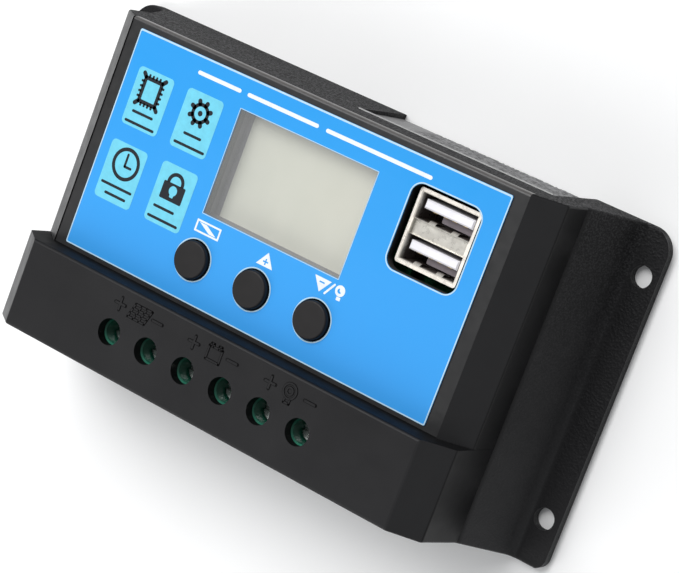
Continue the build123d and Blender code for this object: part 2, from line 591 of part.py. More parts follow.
def terminal_screw(x):
    """Slotted clamping screw that turns in place."""
    with BuildPart() as screw:
        rod(x, SCREW_Y, SCREW_HEAD_R, SCREW_HEAD_Z)
        fillet(screw.faces().sort_by(Axis.Z)[-1].edges(), 0.4)
        rod(x, SCREW_Y, SCREW_R, (BAR_Z[1] + THREAD_GAP, SCREW_HEAD_Z[0]))
        box(span(x, 6), span(SCREW_Y, SLOT[0]), (SCREW_HEAD_Z[1] - SLOT[1], HEIGHT), mode=Mode.SUBTRACT)
        box(span(x, SLOT[0]), span(SCREW_Y, 3.0), (SCREW_HEAD_Z[1] - SLOT[1], HEIGHT), mode=Mode.SUBTRACT)
    return screw


def terminal_clamp(x):
    """Square ring that the screw lifts to press the wire against the bar."""
    with BuildPart() as clamp:
        box(span(x, CLAMP_OUT[0]), span(SCREW_Y, CLAMP_OUT[1]), CLAMP_Z)
        fillet(clamp.edges().filter_by(Axis.Y), 0.6)
        box(span(x, WIRE_W), span(SCREW_Y, CLAMP_OUT[1] + 2), WIRE_Z, mode=Mode.SUBTRACT)
        rod(x, SCREW_Y, SCREW_R + THREAD_GAP, (WIRE_Z[1] - 1, CLAMP_Z[1] + 1), mode=Mode.SUBTRACT)
    return clamp


with BuildPart() as terminal_bars:
    for x in POLE_X:
        box(span(x, BAR_W), BAR_Y, BAR_Z)
        box(span(x, BAR_PIN[0]), (BAR_Y[1] - BAR_PIN[1], BAR_Y[1]), (MAIN_BOARD_Z - 1.5, BAR_Z[1]))

# ------------------------------------------------------------------ files
os.makedirs("parts", exist_ok=True)
PIECES = {
    "main_shell": main_shell,
    "front_cover": front_cover,
    "front_label": front_label,
    "lcd_window": lcd_window,
    "lcd_bezel": lcd_bezel,
    "lcd_glass": lcd_glass,
    "lcd_backlight": lcd_backlight,
    "zebra_strip": zebra_strip,
    "display_board": display_board,
    "display_screws": display_screws,
    "board_connector": board_connector,
    "switch_bodies": switch_bodies,
    "main_board": main_board,
    "board_screws": board_screws,
    "capacitors": capacitors,
    "inductor_core": inductor_core,
    "inductor_winding": inductor_winding,
    "microcontroller": microcontroller,
    "regulator": regulator,
    "fuse": fuse,
    "back_plate": back_plate,
    "back_screws": back_screws,
    "thermal_pads": thermal_pads,
    "transistor_tabs": transistor_tabs,
    "transistor_bodies": transistor_bodies,
    "transistor_leads": transistor_leads,
    "transistor_screws": transistor_screws,
    "usb_shell": usb_shell,
    "usb_insulator": usb_insulator,
    "usb_contacts": usb_contacts,
    "terminal_bars": terminal_bars,
}
for piece_name, piece in PIECES.items():
    save(piece, piece_name)
for button_name, button_x in BUTTON_X.items():
    save(button_cap(button_x), f"button_{button_name}")
    save(switch_plunger(button_x), f"plunger_{button_name}")
for number, pole_x in enumerate(POLE_X, start=1):
    save(terminal_module(pole_x), f"terminal_module_{number}")
    save(terminal_screw(pole_x), f"terminal_screw_{number}")
    save(terminal_clamp(pole_x), f"terminal_clamp_{number}")
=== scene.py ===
import json
import math

import bmesh
import bpy
from mathutils import Matrix, Quaternion, Vector, noise


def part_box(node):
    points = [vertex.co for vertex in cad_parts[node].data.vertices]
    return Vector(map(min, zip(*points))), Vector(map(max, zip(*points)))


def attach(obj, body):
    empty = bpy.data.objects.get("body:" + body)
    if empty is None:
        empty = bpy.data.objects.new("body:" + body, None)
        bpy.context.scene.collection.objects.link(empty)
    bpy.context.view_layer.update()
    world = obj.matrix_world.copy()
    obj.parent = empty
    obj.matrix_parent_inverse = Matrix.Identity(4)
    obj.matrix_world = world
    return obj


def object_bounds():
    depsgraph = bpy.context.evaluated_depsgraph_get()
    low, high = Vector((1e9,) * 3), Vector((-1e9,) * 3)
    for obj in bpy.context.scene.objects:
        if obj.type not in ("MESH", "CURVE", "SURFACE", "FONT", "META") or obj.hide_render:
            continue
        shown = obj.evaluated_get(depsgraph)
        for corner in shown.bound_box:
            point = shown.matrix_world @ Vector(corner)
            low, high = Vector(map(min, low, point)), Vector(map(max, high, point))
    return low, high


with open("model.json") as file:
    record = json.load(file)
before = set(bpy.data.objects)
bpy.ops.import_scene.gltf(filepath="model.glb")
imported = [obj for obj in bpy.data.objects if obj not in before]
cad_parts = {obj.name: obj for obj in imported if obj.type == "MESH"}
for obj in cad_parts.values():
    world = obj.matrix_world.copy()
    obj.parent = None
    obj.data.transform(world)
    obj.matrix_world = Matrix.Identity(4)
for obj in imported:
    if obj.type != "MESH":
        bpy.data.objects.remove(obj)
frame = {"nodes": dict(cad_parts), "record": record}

# Solar charge controller on its back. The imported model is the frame, and this script adds the camera, the light,
# the finishes, the printed label, the moulded signs and the fine detail. Blender works in metres. Sizes below are
# in millimetres unless a comment says otherwise, and MM turns them into metres.

CAD_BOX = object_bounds()
MM = 0.001


# ------------------------------------------------------------------ places read from the frame
def middle(node):
    """Centre of a CAD node's box."""
    low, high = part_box(node)
    return (low + high) / 2 / MM


def extent(node):
    """Lengths of a CAD node's box."""
    low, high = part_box(node)
    return (high - low) / MM


LABEL_MID, LABEL_SIZE = middle("front_label"), extent("front_label")
LABEL_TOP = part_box("front_label")[1].z / MM
SHELL_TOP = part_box("main_shell")[1].z / MM
WINDOW_MID, WINDOW_SIZE = middle("lcd_window"), extent("lcd_window")
BUTTONS = [middle(f"button_{name}") for name in ("menu", "up", "down")]
USB_MID = middle("usb_shell")

# ------------------------------------------------------------------ camera
CAMERA_AZIMUTH, CAMERA_ELEVATION, CAMERA_ROLL = 110.25, 59.53, -86.91  # degrees
CAMERA_DISTANCE = 463.2
CAMERA_AIM = (17.95, -6.4)  # what it looks at, from the middle of the label
CAMERA_LENS, CAMERA_SENSOR = 129.5, 36
CAMERA_CLIP = (0.01, 20)  # metres


def make_camera():
    """Camera that looks down on the label from beyond the USB end, rolled so that the housing lies aslant."""
    turn, rise = math.radians(CAMERA_AZIMUTH), math.radians(CAMERA_ELEVATION)
    back = Vector((math.sin(turn) * math.cos(rise), -math.cos(turn) * math.cos(rise), math.sin(rise)))
    aim = Vector((LABEL_MID.x + CAMERA_AIM[0], LABEL_MID.y + CAMERA_AIM[1], LABEL_TOP))
    data = bpy.data.cameras.new("camera")
    data.lens = CAMERA_LENS
    data.sensor_width = CAMERA_SENSOR
    data.clip_start, data.clip_end = CAMERA_CLIP
    camera = bpy.data.objects.new("camera", data)
    bpy.context.scene.collection.objects.link(camera)
    camera.rotation_mode = "QUATERNION"
    roll = Quaternion((0, 0, 1), math.radians(CAMERA_ROLL))
    camera.rotation_quaternion = back.to_track_quat("Z", "Y") @ roll
    camera.location = (aim + back * CAMERA_DISTANCE) * MM
    bpy.context.scene.camera = camera


make_camera()


# ------------------------------------------------------------------ shader helpers
class Shader:
    """A node material under construction, with its Principled shader ready."""

    def __init__(self, name):
        self.material = bpy.data.materials.new(name)
        self.material.use_nodes = True
        self.tree = self.material.node_tree
        self.surface = self.tree.nodes["Principled BSDF"]
        self.coordinates = self.node("ShaderNodeTexCoord").outputs

    def node(self, kind, inputs=None, **settings):
        """Add a node, set its fields, and link or set its inputs."""
        made = self.tree.nodes.new(kind)
        for key, value in settings.items():
            setattr(made, key, value)
        for key, value in (inputs or {}).items():
            self.put(made.inputs[key], value)
        return made

    def put(self, socket, value):
        """Link a socket, or set it to a plain value."""
        if isinstance(value, bpy.types.NodeSocket):
            self.tree.links.new(value, socket)
        else:
            socket.default_value = value

    def set(self, **values):
        """Set inputs of the Principled shader by name, with _ for a space."""
        for key, value in values.items():
            self.put(self.surface.inputs[key.replace("_", " ")], value)
        return self

    def axes(self, source="Object"):
        """X, Y and Z of a place on the object, or with "Normal" of the way that the surface faces."""
        return self.node("ShaderNodeSeparateXYZ", {"Vector": self.coordinates[source]}).outputs

    def noise(self, size, detail=3.0, roughness=0.5, stretch=None):
        """Noise with features of about the given size."""
        place = self.coordinates["Object"]
        if stretch:
            place = self.node("ShaderNodeMapping", {"Vector": place, "Scale": stretch}).outputs[0]
        inputs = {"Vector": place, "Scale": 1 / (size * MM), "Detail": detail, "Roughness": roughness}
        return self.node("ShaderNodeTexNoise", inputs).outputs["Fac"]

    def cells(self, size):
        """Distance to scattered points about the given size apart."""
        inputs = {"Vector": self.coordinates["Object"], "Scale": 1 / (size * MM)}
        return self.node("ShaderNodeTexVoronoi", inputs).outputs["Distance"]

    def ramp(self, factor, *stops):
        """Colours along a factor, as (place, colour) pairs."""
        made = self.node("ShaderNodeValToRGB", {"Fac": factor})
        elements = made.color_ramp.elements
        while len(elements) < len(stops):
            elements.new(0.5)
        for element, (at, colour) in zip(elements, stops):
            element.position = at
            element.color = (*colour, 1)
        return made.outputs["Color"]

    def remap(self, factor, low, high, start=0.3, end=0.7):
        """Number that goes from low to high as a factor goes from start to end."""
        inputs = {"Value": factor, "From Min": start, "From Max": end, "To Min": low, "To Max": high}
        return self.node("ShaderNodeMapRange", inputs).outputs["Result"]

    def number(self, operation, first, second=0.0):
        """Result of an operation on one or two numbers."""
        return self.node("ShaderNodeMath", {0: first, 1: second}, operation=operation).outputs[0]

    def add(self, first, second):
        """Sum of two numbers."""
        return self.number("ADD", first, second)

    def times(self, first, second):
        """Product of two numbers."""
        return self.number("MULTIPLY", first, second)

    def larger(self, first, second):
        """The larger of two numbers."""
        return self.number("MAXIMUM", first, second)

    def unsigned(self, value):
        """A number without its sign."""
        return self.number("ABSOLUTE", value)

    def rest(self, share):
        """What a share leaves of one."""
        return self.remap(share, 1.0, 0.0, 0.0, 1.0)

    def bump(self, height, micrometres):
        """Surface relief of the given depth."""
        inputs = {"Height": height, "Distance": micrometres * 1e-6, "Strength": 1.0}
        self.set(Normal=self.node("ShaderNodeBump", inputs).outputs["Normal"])
        return self


def shades(colour, spread):
    """A darker and a lighter shade of a colour."""
    return [tuple(min(1, c * (1 + s)) for c in colour) for s in (-spread, spread)]


METAL_SPREAD = 0.12
METAL_LINE = 0.3
METAL_STRETCH = (1, 1, 0.12)  # drawn lines run along Z


def plain_finish(name, colour, roughness, spread=0.08, tone=6, grain=0.25, relief=4, **sockets):
    """Surface with uneven tone, uneven gloss and a fine grain. The relief is in micrometres."""
    s = Shader(name)
    dark, light = shades(colour, spread)
    s.set(Base_Color=s.ramp(s.noise(tone, 4), (0.35, dark), (0.65, light)))
    s.set(Roughness=s.remap(s.noise(tone / 4, 4), *roughness))
    s.bump(s.noise(grain, 2), relief)
    return s.set(**sockets).material


def metal_finish(name, colour, roughness, tone=2.5, relief=5):
    """Plated metal with smudges and drawn lines."""
    s = Shader(name)
    dark, light = shades(colour, METAL_SPREAD)
    s.set(Base_Color=s.ramp(s.noise(tone, 5, 0.6), (0.3, dark), (0.7, light)))
    lines = s.noise(METAL_LINE, 4, 0.6, METAL_STRETCH)
    s.set(Roughness=s.remap(s.times(lines, s.noise(tone, 3)), *roughness, 0.1, 0.45))
    return s.set(Metallic=1.0).bump(lines, relief).material


# ------------------------------------------------------------------ finish of the housing
SKIRT_TOP = 15.5  # height where the grained skirt ends and the smooth side wall starts
LONG_WALL = 30.0  # distance from the middle beyond which a face along X is one of the long walls
FAR_SPECKS_FROM = -10.0  # Y where the skirt's specks start to show
SQUARE_ON = (0.8, 0.9)  # how squarely a face looks along Y before it counts as a wall
LOOKS_UP = (0.5, 0.68)  # the same for deck and shoulders, along Z, which get painted light
LIES_FLAT = (0.9, 0.98)  # the same for the flanges
LOOKS_SIDEWAYS = (0.15, 0.4)  # the same for the shoulders, along X, which get more of that painted light
PIT, SPARK, SPECK, CLOUD, SMEAR = 0.55, 0.42, 0.36, 14, 3  # sizes in the grain and the tone
GRAIN_DEPTH = 190  # micrometres
SKIRT_GRAIN, SMOOTH_GRAIN = 0.55, 0.06  # share of that depth on the skirt, and everywhere
STEP_ROUGHER, WALL_ROUGHER = 0.3, 0.35
SHELL_GLOSS = (0.36, 0.44)  # roughness of the smooth and the grained zones
SHELL_SPECULAR = 0.13
SHELL_TONES = ((0.0, (0.0035, 0.0035, 0.004)), (0.2, (0.0125, 0.0123, 0.0133)),
               (0.9, (0.048, 0.048, 0.0495)), (1.0, (0.07, 0.07, 0.072)))


def shell_zones(s):
    """Share of the skirt, of the long walls, and of the step between the cover and the terminal deck."""
    place, along_y = s.axes(), s.unsigned(s.axes("Normal")["Y"])
    skirt = s.remap(place["Z"], 1.0, 0.0, (SKIRT_TOP - 1) * MM, SKIRT_TOP * MM)
    outside = s.remap(s.unsigned(place["Y"]), 0.0, 1.0, (LONG_WALL - 1) * MM, LONG_WALL * MM)
    square = s.remap(along_y, 0.0, 1.0, *SQUARE_ON)
    return skirt, s.times(square, outside), s.times(square, s.rest(outside))


def shell_tone(s, skirt, wall):
    """Place on the shell's tones: grain with painted glints on the long walls, stronger towards the far wall; dusty
    specks and painted light towards the terminal end of the skirt; painted light on the upward-facing deck and
    shoulders.
    """
    place, facing = s.axes(), s.axes("Normal")

    def across(low, high, start=-LONG_WALL):
        """Number that goes from low near the terminals to high at the far wall."""
        return s.remap(place["Y"], low, high, start * MM, LONG_WALL * MM)

    sparks = s.remap(s.noise(SPARK, 3, 0.7, (1, 1, 0.65)), 0.05, 1.3, 0.45, 0.6)
    # painted glints: the grain of the long walls is lightened in the base colour as if catching light, more on the
    # far wall
    painted_wall_glints = s.times(s.times(wall, sparks), across(0.5, 1.0))
    specks = s.remap(s.noise(SPECK, 4, 0.7), 0.0, 1.0, 0.46, 0.6)
    # real dusty specks, plus painted light that pales the skirt towards the terminal end
    dust_and_painted_light = s.add(s.times(specks, across(0.08, 0.5, FAR_SPECKS_FROM)), across(0.5, 0.0))
    dust_and_painted_light = s.add(s.times(dust_and_painted_light, s.remap(facing["Z"], 1.0, 0.25, *LIES_FLAT)), 0.05)
    dust_and_painted_light = s.times(s.times(skirt, s.rest(wall)), dust_and_painted_light)
    # painted light: faces that look up, shoulders most, are paler in the base colour
    upper = s.times(s.remap(facing["Z"], 0.0, 0.25, *LOOKS_UP), s.rest(skirt))
    upper = s.times(upper, s.remap(s.unsigned(facing["X"]), 1.0, 1.8, *LOOKS_SIDEWAYS))
    return s.add(s.add(s.larger(painted_wall_glints, dust_and_painted_light), upper), s.remap(s.noise(CLOUD, 4), 0.0, 0.08))


def shell_plastic():
    """Black ABS: spark-eroded grain on skirt, flanges and long walls, nearly smooth on deck and shoulders."""
    s = Shader("shell_plastic")
    skirt, wall, step = shell_zones(s)
    grain = s.times(s.noise(SPARK, 3, 0.6), s.cells(PIT))
    amount = s.larger(s.add(s.times(skirt, SKIRT_GRAIN), SMOOTH_GRAIN), wall)
    s.bump(s.times(grain, amount), GRAIN_DEPTH)
    s.set(Base_Color=s.ramp(shell_tone(s, skirt, wall), *SHELL_TONES))
    gloss = s.add(s.remap(s.noise(SMEAR, 4), -0.04, 0.05), s.remap(s.larger(skirt, wall), *SHELL_GLOSS, 0.0, 1.0))
    rougher = s.add(s.times(step, STEP_ROUGHER), s.times(wall, WALL_ROUGHER))
    return s.set(Roughness=s.add(gloss, rougher), Specular_IOR_Level=SHELL_SPECULAR).material


def cover_plastic():
    """Smooth black ABS of the display cover, with a painted highlight on its rounded upper edge."""
    s = Shader("cover_plastic")
    black, highlight_grey = (0.016, 0.016, 0.0168), (0.085, 0.08, 0.078)
    # painted highlight: faces of the cover that turn towards +Y, its rounded top edge most of all, are painted paler
    # in patches
    painted_edge_highlight = s.times(s.remap(s.axes("Normal")["Y"], 0.0, 1.0, 0.2, 0.6), s.remap(s.noise(2.5, 4), 0.6, 1.0))
    tone = s.add(painted_edge_highlight, s.remap(s.noise(6, 4), -0.05, 0.05))
    s.set(Base_Color=s.ramp(tone, (0.0, black), (0.9, highlight_grey)))
    s.set(Roughness=s.remap(s.noise(1.5, 4), 0.3, 0.38), Specular_IOR_Level=0.4)
    return s.bump(s.noise(0.25, 2), 6).material


# ------------------------------------------------------------------ finishes of label, coat and display
LCD_SHADE_WIDTH, LCD_BLUR = 1.4, 0.5  # width and soft edge of the painted shadow on the display inside the window's left and right sides
LABEL_TONES = ((0.1, (0.022, 0.315, 0.775)), (0.6, (0.038, 0.335, 0.81)), (1.0, (0.04, 0.325, 0.80)))
# the first stop is the colour of the painted shadow at the display's sides
LCD_TONES = ((0.0, (0.14, 0.135, 0.15)), (0.1, (0.54, 0.55, 0.475)), (0.9, (0.58, 0.575, 0.485)))
# painted shade in the troughs of the folds and a painted highlight on their crests
COAT_TONES = ((0.2, (0.004, 0.004, 0.005)), (0.85, (0.2, 0.2, 0.205)))
INK_GLOSS = (0.36, 0.48)


def label_print():
    """Printed polyester film: blue that deepens a little towards the far corner, with a fine satin tooth."""
    s = Shader("label_print")
    place = s.axes()
    low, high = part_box("front_label")
    fall = s.add(s.remap(place["X"], 0.0, 0.15, low.x, high.x), s.remap(place["Y"], 0.85, 0.0, low.y, high.y))
    mottle = s.add(fall, s.remap(s.noise(9, 3), -0.07, 0.07))
    s.set(Base_Color=s.ramp(mottle, *LABEL_TONES), Roughness=s.remap(s.noise(2.2, 4), 0.38, 0.48))
    s.bump(s.noise(0.09, 2), 1.5)
    return s.set(Specular_IOR_Level=0.2).material


def ink(name, colour):
    """Screen-printed ink, a little uneven, with soft pinholes."""
    s = Shader(name)
    dark, light = shades(colour, 0.06)
    s.set(Base_Color=s.ramp(s.noise(1.4, 5, 0.6), (0.3, dark), (0.65, light)))
    s.set(Roughness=s.remap(s.noise(0.8, 3), *INK_GLOSS), Specular_IOR_Level=0.15)
    return s.bump(s.noise(0.12, 2), 1.5).material


def wrinkle_coat(name, folds_from=None):
    """Black crinkle lacquer on the heat sink, whose folds are noise or a relief stored on the mesh; painted shade
    darkens the troughs and a painted highlight lightens the crests.
    """
    s = Shader(name)
    if folds_from:
        folds = s.node("ShaderNodeAttribute", attribute_name=folds_from).outputs["Fac"]
    else:
        folds = s.noise(0.75, 5, 0.62)
    # painted shade and highlight: the colour follows the height of the folds
    s.set(Base_Color=s.ramp(folds, *COAT_TONES), Roughness=s.remap(folds, 0.28, 0.45))
    return s.bump(s.cells(0.5), 40).material


def display_glass():
    """Unlit reflective display: grey-green with a faint drift along it, and a painted shadow that darkens its left
    and right edges.
    """
    s = Shader("display_glass")
    along = s.axes()["X"]
    low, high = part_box("lcd_glass")
    drift = s.add(s.remap(along, 0.2, 1.0, low.x, high.x), s.remap(s.noise(7, 3), -0.08, 0.08))
    half = WINDOW_SIZE.x / 2 - LCD_SHADE_WIDTH
    off_middle = s.unsigned(s.add(along, -WINDOW_MID.x * MM))
    # painted shadow: the display darkens towards the window's left and right sides
    unshaded_share = s.remap(off_middle, 1.0, -0.5, half * MM, (half + LCD_BLUR) * MM)
    s.set(Base_Color=s.ramp(s.times(drift, unshaded_share), *LCD_TONES))
    s.set(Roughness=s.remap(s.noise(1.5, 3), 0.3, 0.38), Specular_IOR_Level=0.35)
    return s.bump(s.noise(0.07, 2), 1.2).material


def clear_film():
    """Clear window film with faint rub marks."""
    s = Shader("clear_film")
    marks = s.noise(3, 5, 0.6, (1, 0.25, 1))
    s.set(Base_Color=s.ramp(marks, (0.3, (0.82, 0.84, 0.83)), (0.7, (0.93, 0.94, 0.93))))
    s.set(Roughness=s.remap(marks, 0.05, 0.14), Alpha=0.1)
    return s.bump(s.noise(1.2, 2), 1.0).material


# ------------------------------------------------------------------ finishes of the parts inside and the sockets
TRACK_PITCH = 2.6  # copper tracks on the boards
STRIPE = (0.6, 0.8)  # where the capacitor sleeve's pale stripe fades out, from its side
WIRE_PITCH = 0.55  # turns of the inductor's wire
SOCKET_SHADE_TOP, SOCKET_HIGHLIGHT_FROM = 25.2, 27.0  # heights below which the socket's nickel is in painted shade and above which it carries a painted highlight
# from the painted shade down in the ports to the painted highlight at the mouth
NICKEL_TONES = ((0.0, (0.12, 0.098, 0.088)), (0.6, (0.72, 0.7, 0.64)), (0.95, (1.0, 0.93, 0.84)))


def solder_mask():
    """Green solder mask over copper tracks."""
    s = Shader("board_green")
    mask, raised = (0.012, 0.11, 0.045), (0.03, 0.2, 0.085)
    inputs = {"Vector": s.coordinates["Object"], "Scale": 1 / (TRACK_PITCH * MM), "Mortar Size": 0.09,
              "Color1": (0, 0, 0, 1), "Color2": (0.15, 0.15, 0.15, 1), "Mortar": (1, 1, 1, 1)}
    tracks = s.node("ShaderNodeTexBrick", inputs).outputs["Color"]
    s.set(Base_Color=s.ramp(tracks, (0.1, mask), (0.9, raised)))
    s.set(Roughness=s.remap(s.noise(1.5, 3), 0.25, 0.38))
    return s.bump(tracks, 18).material


def sleeve_dark():
    """Capacitor sleeve with a pale stripe down one side."""
    s = Shader("sleeve_dark")
    sleeve, pale = (0.015, 0.016, 0.04), (0.45, 0.47, 0.5)
    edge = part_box("capacitors")[0].x
    stripe = s.remap(s.axes()["X"], 1.0, 0.0, *(edge + inward * MM for inward in STRIPE))
    s.set(Base_Color=s.ramp(stripe, (0.4, sleeve), (0.6, pale)))
    s.set(Roughness=s.remap(s.noise(2, 3), 0.22, 0.34))
    return s.bump(s.noise(1.1, 2), 12).material


def copper_wire():
    """Enamelled wire wound in level turns, with painted shade in the grooves between them."""
    s = Shader("copper_wire")
    # painted shade darkens the copper between the turns
    groove_shade, crown = (0.3, 0.09, 0.03), (0.75, 0.3, 0.12)
    turns = s.number("SINE", s.times(s.axes()["Z"], 2 * math.pi / (WIRE_PITCH * MM)))
    s.set(Base_Color=s.ramp(turns, (0.0, groove_shade), (1.0, crown)))
    s.set(Roughness=s.remap(s.noise(1, 3), 0.25, 0.4), Metallic=1.0)
    return s.bump(turns, 90).material


def socket_nickel():
    """Nickel with smudges, with a painted highlight at the mouth and painted shade, dull and brown, down in the
    ports.
    """
    s = Shader("usb_nickel")
    # painted light: the nickel is darkened down in the ports and lightened at the mouth
    nickel_light_share = s.add(s.remap(s.axes()["Z"], 0.0, 1.0, SOCKET_SHADE_TOP * MM, SOCKET_HIGHLIGHT_FROM * MM),
                   s.remap(s.noise(1.8, 5, 0.6), -0.12, 0.06))
    s.set(Base_Color=s.ramp(nickel_light_share, *NICKEL_TONES))
    s.set(Roughness=s.remap(s.noise(1.2, 3), 0.22, 0.4), Metallic=0.4)
    return s.bump(s.noise(METAL_LINE, 4, 0.6, METAL_STRETCH), 5).material


def button_black():
    """Key caps: black with a very fine grain, a touch warmer than the housing."""
    s = Shader("button_black")
    dark, light = (0.009, 0.008, 0.0083), (0.0125, 0.0113, 0.0116)
    s.set(Base_Color=s.ramp(s.noise(2.4, 4), (0.3, dark), (0.7, light)))
    s.set(Roughness=s.remap(s.noise(1.2, 3), 0.42, 0.55), Specular_IOR_Level=0.25)
    return s.bump(s.times(s.noise(0.16, 3), s.cells(0.2)), 14).material


FINISHES = {
    "shell_plastic": shell_plastic(),
    "cover_plastic": cover_plastic(),
    "label_print": label_print(),
    "clear_film": clear_film(),
    "bezel_grey": plain_finish("bezel_grey", (0.125, 0.12, 0.135), (0.45, 0.6), spread=0.1, relief=3),
    "display_glass": display_glass(),
    "diffuser_white": plain_finish("diffuser_white", (0.78, 0.8, 0.78), (0.35, 0.45), Subsurface_Weight=0.2),
    "elastomer": plain_finish("elastomer", (0.6, 0.22, 0.3), (0.6, 0.75), tone=1),
    "board_green": solder_mask(),
    "zinc_steel": metal_finish("zinc_steel", (0.56, 0.57, 0.58), (0.22, 0.42)),
    "black_screw": metal_finish("black_screw", (0.035, 0.035, 0.038), (0.3, 0.5)),
    "connector_black": plain_finish("connector_black", (0.012, 0.012, 0.012), (0.4, 0.55)),
    "switch_black": plain_finish("switch_black", (0.02, 0.02, 0.02), (0.4, 0.55)),
    "sleeve_dark": sleeve_dark(),
    "ferrite": plain_finish("ferrite", (0.035, 0.034, 0.036), (0.6, 0.8), grain=0.18, relief=25),
    "copper_wire": copper_wire(),
    "epoxy_black": plain_finish("epoxy_black", (0.014, 0.014, 0.015), (0.5, 0.65), grain=0.12, relief=8),
    "fuse_glass": plain_finish("fuse_glass", (0.62, 0.58, 0.47), (0.3, 0.42), relief=6),
    "plate_coated": wrinkle_coat("plate_coated"),
    "pad_grey": plain_finish("pad_grey", (0.3, 0.34, 0.4), (0.6, 0.75), grain=0.3, relief=15),
    "tinned_copper": metal_finish("tinned_copper", (0.68, 0.67, 0.64), (0.2, 0.4)),
    "usb_nickel": socket_nickel(),
    "usb_white": plain_finish("usb_white", (0.84, 0.83, 0.88), (0.35, 0.5), spread=0.04, tone=3),
    "contact_gold": metal_finish("contact_gold", (0.8, 0.55, 0.2), (0.15, 0.3)),
    "terminal_green": plain_finish("terminal_green", (0.012, 0.13, 0.082), (0.28, 0.42), spread=0.15, tone=2,
                                   relief=5),
    "screw_nickel": metal_finish("screw_nickel", (0.6, 0.61, 0.6), (0.18, 0.4), tone=0.9, relief=14),
    "clamp_steel": metal_finish("clamp_steel", (0.5, 0.5, 0.5), (0.25, 0.45)),
    "button_black": button_black(),
    "plunger_black": plain_finish("plunger_black", (0.018, 0.018, 0.018), (0.4, 0.55)),
}


def finish_nodes():
    """Give every CAD node the finish of its material slot."""
    for part in frame["record"]["subparts"]:
        node = frame["nodes"][part["node"]]
        finish = FINISHES[part["material_slot"]]
        if not node.material_slots:
            node.data.materials.append(finish)
        for held in node.material_slots:
            held.material = finish


finish_nodes()

# ------------------------------------------------------------------ flat shapes
ROUND_STEPS = 8  # steps round a corner or a stroke's end
WELD = 1e-7  # metres
ON_EDGE = Matrix(((0, 0, 1, 0), (1, 0, 0, 0), (0, 1, 0, 0), (0, 0, 0, 1)))  # outline to Y and Z, height to X


def circle(x, y, radius, steps=48):
    """Points round a circle."""
    return [(x + radius * math.cos(2 * math.pi * i / steps), y + radius * math.sin(2 * math.pi * i / steps))
            for i in range(steps)]


def arc(x, y, radius, start, end, steps=16):
    """Points along an arc, angles in degrees."""
    angles = [math.radians(start + (end - start) * i / steps) for i in range(steps + 1)]
    return [(x + radius * math.cos(a), y + radius * math.sin(a)) for a in angles]


def rounded(x, y, width, height, radius):
    """Points round a rectangle with rounded corners."""
    points = []
    for side_x, side_y, start in ((1, 1, 0), (-1, 1, 90), (-1, -1, 180), (1, -1, 270)):
        points += arc(x + side_x * (width / 2 - radius), y + side_y * (height / 2 - radius), radius,
                      start, start + 90, ROUND_STEPS)
    return points


def bar(start, end, width):
    """A straight stroke with round ends."""
    heading = math.degrees(math.atan2(end[1] - start[1], end[0] - start[0]))
    tail = arc(*start, width / 2, heading + 90, heading + 270, ROUND_STEPS)
    return tail + arc(*end, width / 2, heading - 90, heading + 90, ROUND_STEPS)


def ring(x, y, radius, line):
    """Outer and inner outline of a ring whose line lies outside the radius."""
    return [circle(x, y, radius + line), circle(x, y, radius)]


def moved(points, x, y):
    """Points shifted."""
    return [(px + x, py + y) for px, py in points]


def slab(loops, low, high):
    """Closed mesh between two heights over outlines; an outline inside another is a hole."""
    curve = bpy.data.curves.new("outline", "CURVE")
    curve.dimensions = "2D"
    curve.fill_mode = "BOTH"
    curve.extrude = (high - low) / 2 * MM
    for loop in loops:
        spline = curve.splines.new("POLY")
        spline.points.add(len(loop) - 1)
        for point, (x, y) in zip(spline.points, loop):
            point.co = (x * MM, y * MM, 0, 1)
        spline.use_cyclic_u = True
    holder = bpy.data.objects.new("outline", curve)
    bpy.context.scene.collection.objects.link(holder)
    mesh = bpy.data.meshes.new_from_object(holder)
    mesh.transform(Matrix.Translation((0, 0, (low + high) / 2 * MM)))
    bpy.data.objects.remove(holder)
    bpy.data.curves.remove(curve)
    return mesh


def piece(name, meshes, finish, smooth_deg=None):
    """One object out of several meshes, fixed to the housing."""
    work = bmesh.new()
    for mesh in meshes:
        work.from_mesh(mesh)
        bpy.data.meshes.remove(mesh)
    bmesh.ops.remove_doubles(work, verts=work.verts, dist=WELD)
    bmesh.ops.recalc_face_normals(work, faces=work.faces)
    made = bpy.data.meshes.new(name)
    work.to_mesh(made)
    work.free()
    made.materials.clear()
    made.materials.append(finish)
    if smooth_deg:
        made.shade_smooth()
        made.set_sharp_from_angle(angle=math.radians(smooth_deg))
    thing = bpy.data.objects.new(name, made)
    bpy.context.scene.collection.objects.link(thing)
    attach(thing, "root")


# ------------------------------------------------------------------ printed label
INK_T = 0.03
TILE_INK = ink("ink_cyan", (0.165, 0.59, 0.76))
WHITE_INK = ink("ink_white", (0.78, 0.83, 0.87))
DARK_INK = ink("ink_dark", (0.018, 0.021, 0.026))
EDGE_INK = ink("ink_edge", (0.46, 0.66, 0.80))

# tiles, icons, captions and title: places are from the middle of the label
TILES = [((-37.75, 10.15), (9.15, 12.1)), ((-25.05, 10.25), (9.15, 12.15)),
         ((-37.95, -5.55), (9.35, 12.3)), ((-24.85, -5.25), (9.1, 12.45))]  # middle and size
TILE_ROUND = 0.95
CHIP_AT, GEAR_AT, CLOCK_AT, PADLOCK_AT = (-37.9, 12.0), (-25.05, 12.35), (-37.6, -3.35), (-24.85, -4.3)
CAPTIONS = [((-37.9, 7.2), 4.9), ((-37.8, 4.95), 7.1), ((-25.0, 7.6), 4.0), ((-24.9, 5.3), 7.3),
            ((-37.95, -8.4), 7.5), ((-37.55, -10.2), 5.0), ((-25.5, -8.1), 4.8),
            ((-24.9, -10.4), 7.2)]  # bars that stand for captions: middle and length
CAPTION_W = 0.55
TITLE_BARS = [(-28.4, -18.2), (-15.8, 1.0), (3.6, 27.9)]  # bars that stand for the title: start and end
